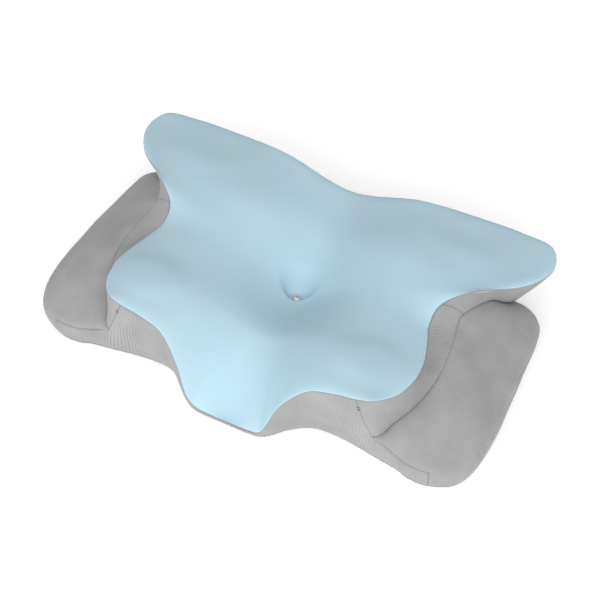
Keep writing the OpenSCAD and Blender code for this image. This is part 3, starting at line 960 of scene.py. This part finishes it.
def stations_between(low, high):
    """Station indices whose place is from low to high."""
    return np.nonzero((cover.u >= low - 1e-6) & (cover.u <= high + 1e-6))[0]


def along_ring(ring, low, high):
    """The path of a seam round a ring, and the normals on it."""
    ids = stations_between(low, high)
    return cover.points[ring, ids], BODY_NORMALS[ring, ids]


def down_station(k, low_ring, high_ring):
    """The path of a seam down a station, and the normals on it."""
    station = int(np.argmin(np.abs(cover.u - k)))
    rings = np.arange(low_ring, high_ring + 1)
    return cover.points[rings, station], BODY_NORMALS[rings, station]


GREY_THREAD = thread_material("thread_grey", (0.30, 0.30, 0.31))
DARK_THREAD = thread_material("thread_dark", (0.07, 0.07, 0.075))


def offset_path(ring, off, low, high):
    """A line at a distance above (or, if negative, below) a ring, and the normals on it."""
    walls = slice(cover.rim_ring, cover.ground_ring + 1)
    ids = stations_between(low, high)
    return tuple(
        np.concatenate([sample(rows[walls, k], DOWN[walls, k], [DOWN[ring, k] - off]) for k in ids])
        for rows in (cover.points, BODY_NORMALS)
    )


TACK_L, TACK_AT = 4.5 * MM, (12 * MM, 16 * MM)
TACK_PITCH, TACK_STITCH, TACK_R, TACK_PROUD = 0.45 * MM, 1.7 * MM, 0.24 * MM, 0.1 * MM
TACK_REACH = 0.4  # stations


def bar_tacks():
    """Two close-sewn bars across each front seam, just below the rim."""
    rows = []
    for place in (FRONT_SEAM, TURN - FRONT_SEAM):
        for below in TACK_AT:
            reach = (place - TACK_REACH, place + TACK_REACH)
            path, normals = offset_path(cover.rim_ring, -below, *reach)
            gone = lengths_along(path)
            middle = np.interp(place, cover.u[stations_between(*reach)], gone)
            along = np.linspace(middle - TACK_L / 2, middle + TACK_L / 2, 12)
            up = sample(normals, gone, along)
            bar = sample(path, gone, along) + up * TACK_PROUD
            rows.append(stitch_row(bar, up, TACK_PITCH, TACK_STITCH, TACK_R, math.pi / 2))
    stitches("bar_tacks", rows, DARK_THREAD)


def hem_stitches():
    """The two rows that hold the zipper's tapes to the hems."""
    above = offset_path(cover.arm_ring, HEM_STITCH, ZIP_END, TURN - ZIP_END)
    below = offset_path(cover.edge_ring, -HEM_STITCH, ZIP_END, TURN - ZIP_END)
    stitches("hem_thread", [stitch_row(*above), stitch_row(*below)], GREY_THREAD)


def seam_stitches():
    """Stitches in every seam of the cover."""
    rim, arm, edge, ground = cover.rim_ring, cover.arm_ring, cover.edge_ring, cover.ground_ring
    stitches("rim_seam_thread", [stitch_row(*along_ring(rim, 0, TURN))],
             GREY_THREAD)
    runs, cross = [], []
    for side in (1, -1):
        for ring, low, high in ((arm, FRONT_SEAM, ARM_END), (edge, FRONT_SEAM, CORNER_SEAM),
                                (ground, 0, ZIP_END)):
            ends = (low, high) if side > 0 else (TURN - high, TURN - low)
            runs.append(stitch_row(*along_ring(ring, *ends)))
        for k, low, high in ((FRONT_SEAM, rim, edge), (CORNER_SEAM, edge, ground),
                             (NOTCH_SEAM, rim, arm), (ARM_END, arm, ground)):
            place = k if side > 0 else TURN - k
            cross.append(stitch_row(*down_station(place, low, high)))
    stitches("wall_seam_thread", runs, GREY_THREAD)
    stitches("cross_seam_thread", cross, GREY_THREAD)


seam_stitches()
bar_tacks()
hem_stitches()


# ---- Zipper ----
UPPER, LOWER = "zip_teeth_upper", "zip_teeth_lower"
COIL_PITCH, COIL_WIRE = 2.0 * MM, 0.36 * MM


def tube(path, radius, sides=6):
    """Points and faces of a closed-ended tube along a path."""
    way = unit(np.gradient(path, axis=0))
    side = unit(np.cross(way, np.array([0.31, 0.77, 0.56])))
    up = np.cross(way, side)
    turn = 2 * np.pi * np.arange(sides) / sides
    rows = path[:, None] + radius * (
        np.cos(turn)[None, :, None] * side[:, None] + np.sin(turn)[None, :, None] * up[:, None]
    )
    n = len(path)
    faces = ring_quads(n, sides).tolist()
    faces += [list(range(sides)), [(n - 1) * sides + k for k in range(sides)][::-1]]
    return rows.reshape(-1, 3), faces


def coil(name, node, toward):
    """A nylon coil: an oval helix along X whose loops reach across to the other row's."""
    low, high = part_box(node)
    other_low, other_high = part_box(LOWER if node == UPPER else UPPER)
    middle_z = ((low.z + high.z) / 2 + (other_low.z + other_high.z) / 2) / 2
    head = middle_z - toward * 0.35 * MM
    back = high.z if toward < 0 else low.z
    turns = (high.x - low.x) / COIL_PITCH
    phase = 0.0 if toward > 0 else math.pi
    t = np.linspace(0, 2 * np.pi * turns, int(turns * 12) + 1)
    reach = (head - back) / 2
    lean = 0.22 * COIL_PITCH * np.cos(t + phase)
    path = np.column_stack([
        low.x + COIL_WIRE + (high.x - low.x - 2 * COIL_WIRE) * t / t[-1] + lean,
        (low.y + high.y) / 2 + ((high.y - low.y) / 2 - COIL_WIRE) * np.sin(t + phase),
        back + reach + (reach - COIL_WIRE * toward) * np.cos(t + phase),
    ])
    points, faces = tube(path, COIL_WIRE)
    piece = add_mesh(name, points, faces)
    return finish_piece(piece, NYLON, nodes=[node])


def tape(name, node, toward):
    """A woven zipper tape with a corded edge beside the coil."""
    low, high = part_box(node)
    across = np.linspace(0, 1, 13)
    along = np.linspace(low.x, high.x, 260)
    inner, outer = (high.z, low.z) if toward < 0 else (low.z, high.z)
    z = inner + (outer - inner) * across
    bead = 0.35 * MM * bell((across - 0.06) / 0.07)
    rib = 0.05 * MM * np.sin(along / (1.1 * MM) * 2 * math.pi)
    bow = 0.12 * MM * np.sin(along / 0.031)
    x, z = np.meshgrid(along, z, indexing="ij")
    front = np.stack([x, (high.y + rib + bow)[:, None] + bead[None], z], 2)
    back = front - np.array([0, high.y - low.y, 0])
    n, m = front.shape[:2]
    ids = np.arange(n * m).reshape(n, m)
    quads = np.stack([ids[:-1, :-1], ids[1:, :-1], ids[1:, 1:], ids[:-1, 1:]], 2).reshape(-1, 4)
    if toward > 0:
        quads = quads[:, ::-1]
    count = n * m
    faces = [*quads.tolist(), *(quads[:, ::-1] + count).tolist()]
    border = border_edges(quads)
    flat = [[b, a, a + count, b + count] for a, b in border.tolist()]
    piece = add_mesh(name, np.concatenate([front.reshape(-1, 3), back.reshape(-1, 3)]), faces, flat)
    return finish_piece(piece, TAPE, nodes=[node])


NYLON = moulded("coil_nylon", (0.30, 0.30, 0.31), roughness=0.35)
TAPE = plain_cloth("tape_weave", (0.36, 0.36, 0.365), (0.24, 0.24, 0.245), 0.8 * MM)
coil("coil_upper", UPPER, -1)
coil("coil_lower", LOWER, 1)
tape("tape_upper", "zip_tape_upper", 1)
tape("tape_lower", "zip_tape_lower", -1)


def soften(node, material, width, segments=3):
    """Keeps a CAD node's shape, with its sharp edges rounded and a better material."""
    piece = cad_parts[node]
    piece.data.materials.clear()
    piece.data.materials.append(material)
    weld = piece.modifiers.new("weld", "WELD")
    weld.merge_threshold = 0.01 * MM
    bevel = piece.modifiers.new("round", "BEVEL")
    bevel.width = width
    bevel.segments = segments
    bevel.limit_method = "ANGLE"
    bevel.angle_limit = math.radians(35)
    bevel.harden_normals = True
    return piece


NICKEL = metal("satin_nickel", (0.66, 0.66, 0.67), 0.22, 0.36)
CHROME = metal("stud_nickel", (0.80, 0.80, 0.81), 0.10, 0.22)
for node, width in (("zip_slider", 0.35), ("zip_pull_tab", 0.3), ("zip_stops", 0.5)):
    soften(node, NICKEL, width * MM)
for node, width in (("snap_socket", 0.3), ("snap_stud", 0.25), ("snap_post", 0.15)):
    soften(node, CHROME, width * MM)
soften("anchor_toggle", moulded("toggle_nylon", (0.80, 0.80, 0.78)), 0.8 * MM)

# ---- Press-stud cap ----
CAP_SIDES, DOME_STEPS, BEAD_STEPS = 96, 14, 6
# The dome's half angle, and its width and height as shares of the cap's
DOME_TURN, DOME_W, DOME_H = math.pi * 0.44, 0.90, 0.62


def lathe(name, profile, sides=CAP_SIDES):
    """A closed solid of revolution about the button's axis from (radius, height) points."""
    turn = 2 * np.pi * np.arange(sides) / sides
    rows = [np.column_stack([BUTTON[0] + r * np.cos(turn), BUTTON[1] + r * np.sin(turn),
                             np.full(sides, z)]) for r, z in profile]
    points = np.concatenate(rows)
    quads = ring_quads(len(profile), sides)
    n = len(profile)
    faces = quads.tolist()
    faces += [list(range(sides)), [(n - 1) * sides + k for k in range(sides)][::-1]]
    return add_mesh(name, points, faces)


def stud_cap():
    """A domed cap with a rolled edge, a shallow ring round its crown and a solid shank."""
    top, low = cap_high.z, cap_low.z
    seat = SEAT_H + 0.2 * MM
    dome_h = top - seat
    profile = [(0.05 * MM, top)]
    for k in range(1, DOME_STEPS + 1):
        a = k / DOME_STEPS * DOME_TURN
        r = DOME_W * CAP_R * math.sin(a) / math.sin(DOME_TURN)
        z = top - dome_h * DOME_H * (1 - math.cos(a)) / (1 - math.cos(DOME_TURN))
        z -= 0.12 * MM * bell((r - 0.62 * CAP_R) / (0.06 * CAP_R))
        profile.append((r, z))
    bead = 0.10 * CAP_R
    for k in range(BEAD_STEPS + 1):
        a = math.pi / 2 - k / BEAD_STEPS * math.pi
        profile.append((CAP_R - bead + bead * math.cos(a), seat + bead * (1 + math.sin(a))))
    profile += [(CAP_R * 0.8, seat), (1.9 * MM, seat), (1.8 * MM, seat - 0.1 * MM),
                (1.8 * MM, low + 0.2 * MM), (1.6 * MM, low), (0.05 * MM, low)]
    piece = lathe("stud_cap", profile)
    return finish_piece(piece, CHROME, body="button", nodes=["snap_cap"])


stud_cap()


# ---- Strap under the stud and care label ----
def ribbon(name, path, width_axis, width, thickness, material, nodes):
    """A flat ribbon swept along a path, with rounded selvedges."""
    across = np.array([-0.5, -0.47, -0.25, 0, 0.25, 0.47, 0.5])
    thick = np.array([0.3, 1, 1, 1, 1, 1, 0.3]) * thickness / 2
    axis = np.array(width_axis, float)
    out = unit(np.cross(unit(np.gradient(path, axis=0)), axis))
    middle = path[:, None] + across[None, :, None] * width * axis
    raised = out[:, None] * thick[None, :, None]
    loop = np.concatenate([middle + raised, (middle - raised)[:, ::-1]], 1)
    n, m = loop.shape[:2]
    faces = ring_quads(n, m).tolist()
    faces += [list(range(m)), [(n - 1) * m + k for k in range(m)][::-1]]
    piece = add_mesh(name, loop.reshape(-1, 3), faces)
    return finish_piece(piece, material, nodes=nodes)


def strap_loop():
    """The strap: a flat loop of tape from the toggle up to the stud's base."""
    low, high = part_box("anchor_strap")
    t = 1.2 * MM
    half, tall = (high.y - low.y - t) / 2, high.z - low.z - t
    centre_z = (low.z + high.z) / 2
    a = np.linspace(0, 2 * np.pi, 73)
    power = 0.35  # squarer than an ellipse
    y = BUTTON[1] + half * np.sign(np.cos(a)) * np.abs(np.cos(a)) ** power
    z = centre_z + tall / 2 * np.sign(np.sin(a)) * np.abs(np.sin(a)) ** power
    path = np.column_stack([np.full(73, BUTTON[0]), y, z])
    ribbon("stud_strap", path, (1, 0, 0), high.x - low.x, t, STRAP,
           ["anchor_strap"])


STRAP = plain_cloth("strap_weave", (0.84, 0.84, 0.82), (0.70, 0.70, 0.68), 1.0 * MM)
strap_loop()


def care_label():
    """A blank satin label: a ribbon folded double, sewn in at the foot, standing off a little."""
    low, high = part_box("care_label")
    tall = high.z - low.z
    rise = np.linspace(0, 1, 24)
    stand = 0.7 * MM + 1.6 * MM * rise**2
    middle = (low.x + high.x) / 2
    wall_points = cover.points[cover.rim_ring : cover.arm_ring + 1]
    station = int(np.argmin(np.abs(wall_points[-1, :, 0] - middle) + (wall_points[-1, :, 1] < 0)))
    wall_line = wall_points[::-1, station]
    z = low.z + tall * rise
    wall_y = np.interp(z, wall_line[:, 2], wall_line[:, 1])
    front = np.column_stack([np.full(24, middle), wall_y + stand, z])
    a = np.linspace(0, np.pi, 9)[1:-1]
    fold_r = 0.5 * MM
    top = front[-1]
    fold = np.column_stack([np.full(7, top[0]), top[1] - fold_r + fold_r * np.cos(a),
                            top[2] + fold_r * np.sin(a)])
    back = front[::-1] - np.array([0, 2 * fold_r, 0])
    path = np.concatenate([front, fold, back])
    piece = ribbon("label_ribbon", path, (1, 0, 0), high.x - low.x, 0.22 * MM, SATIN,
                   ["care_label"])


SATIN = plain_cloth("label_satin", (0.86, 0.86, 0.85), (0.78, 0.78, 0.77), 0.4 * MM)
care_label()

# ---- Floor, light and camera ----
AZIMUTH, ELEVATION, DISTANCE = math.radians(26.55), math.radians(50.19), 1.8632
LOOK_AT = Vector((-0.0042, 0.0308, 0.0111))
LENS, SENSOR = 81.91, 36
# The room's light: its direction, how fast and from what level it grows toward it, its least
FACING, LEVEL_SLOPE, LEVEL_BASE, LEAST_LEVEL = (0.226, -0.904, 0.361), 0.75, 0.62, 0.05
SOFTBOX_AT, SOFTBOX_SIZE, SOFTBOX_POWER = (0.7, -1.9, 1.5), (1.6, 1.0), 14


def place_camera():
    back = Vector((math.sin(AZIMUTH) * math.cos(ELEVATION),
                   -math.cos(AZIMUTH) * math.cos(ELEVATION), math.sin(ELEVATION)))
    data = bpy.data.cameras.new("camera")
    data.lens, data.sensor_width = LENS, SENSOR
    data.clip_end = 50
    camera = bpy.data.objects.new("camera", data)
    camera.location = LOOK_AT + back * DISTANCE
    camera.rotation_mode = "QUATERNION"
    camera.rotation_quaternion = (-back).to_track_quat("-Z", "Y")
    bpy.context.scene.collection.objects.link(camera)
    bpy.context.scene.camera = camera


def floor():
    size, below = 12, -0.3 * MM
    points = [(x * size, y * size, below) for x, y in ((-1, -1), (1, -1), (1, 1), (-1, 1))]
    piece = add_mesh("floor", points, [], [(0, 1, 2, 3)])
    m = Nodes("floor_paper")
    tone = m.mix(m.noise(m.object_place(), 3), (0.93, 0.93, 0.93), (0.95, 0.95, 0.95))
    piece.data.materials.append(m.finish(
        tone, Roughness=0.9, Specular_IOR_Level=0.1, Emission_Color=(1, 1, 1, 1),
        Emission_Strength=0.30,
    ))


def studio_light():
    """A room of soft light, brighter in front, and one large softbox over the right shoulder."""
    world = bpy.data.worlds.new("studio")
    bpy.context.scene.world = world
    world.use_nodes = True
    tree = world.node_tree
    background = tree.nodes["Background"]
    background.inputs["Color"].default_value = (1, 1, 1, 1)
    place = tree.nodes.new("ShaderNodeTexCoord")
    facing = tree.nodes.new("ShaderNodeVectorMath")
    facing.operation = "DOT_PRODUCT"
    facing.inputs[1].default_value = FACING
    tree.links.new(place.outputs["Generated"], facing.inputs[0])
    level = tree.nodes.new("ShaderNodeMath")
    level.operation = "MULTIPLY_ADD"
    level.inputs[1].default_value = LEVEL_SLOPE
    level.inputs[2].default_value = LEVEL_BASE
    tree.links.new(facing.outputs["Value"], level.inputs[0])
    least = tree.nodes.new("ShaderNodeMath")
    least.operation = "MAXIMUM"
    least.inputs[1].default_value = LEAST_LEVEL
    tree.links.new(level.outputs[0], least.inputs[0])
    tree.links.new(least.outputs[0], background.inputs["Strength"])
    data = bpy.data.lights.new("softbox", "AREA")
    data.shape, data.energy = "RECTANGLE", SOFTBOX_POWER
    data.size, data.size_y = SOFTBOX_SIZE
    box = bpy.data.objects.new("softbox", data)
    box.location = SOFTBOX_AT
    box.rotation_mode = "QUATERNION"
    box.rotation_quaternion = (-box.location).to_track_quat("-Z", "Y")
    bpy.context.scene.collection.objects.link(box)


place_camera()
floor()
studio_light()
bpy.context.scene.view_settings.view_transform = "Standard"
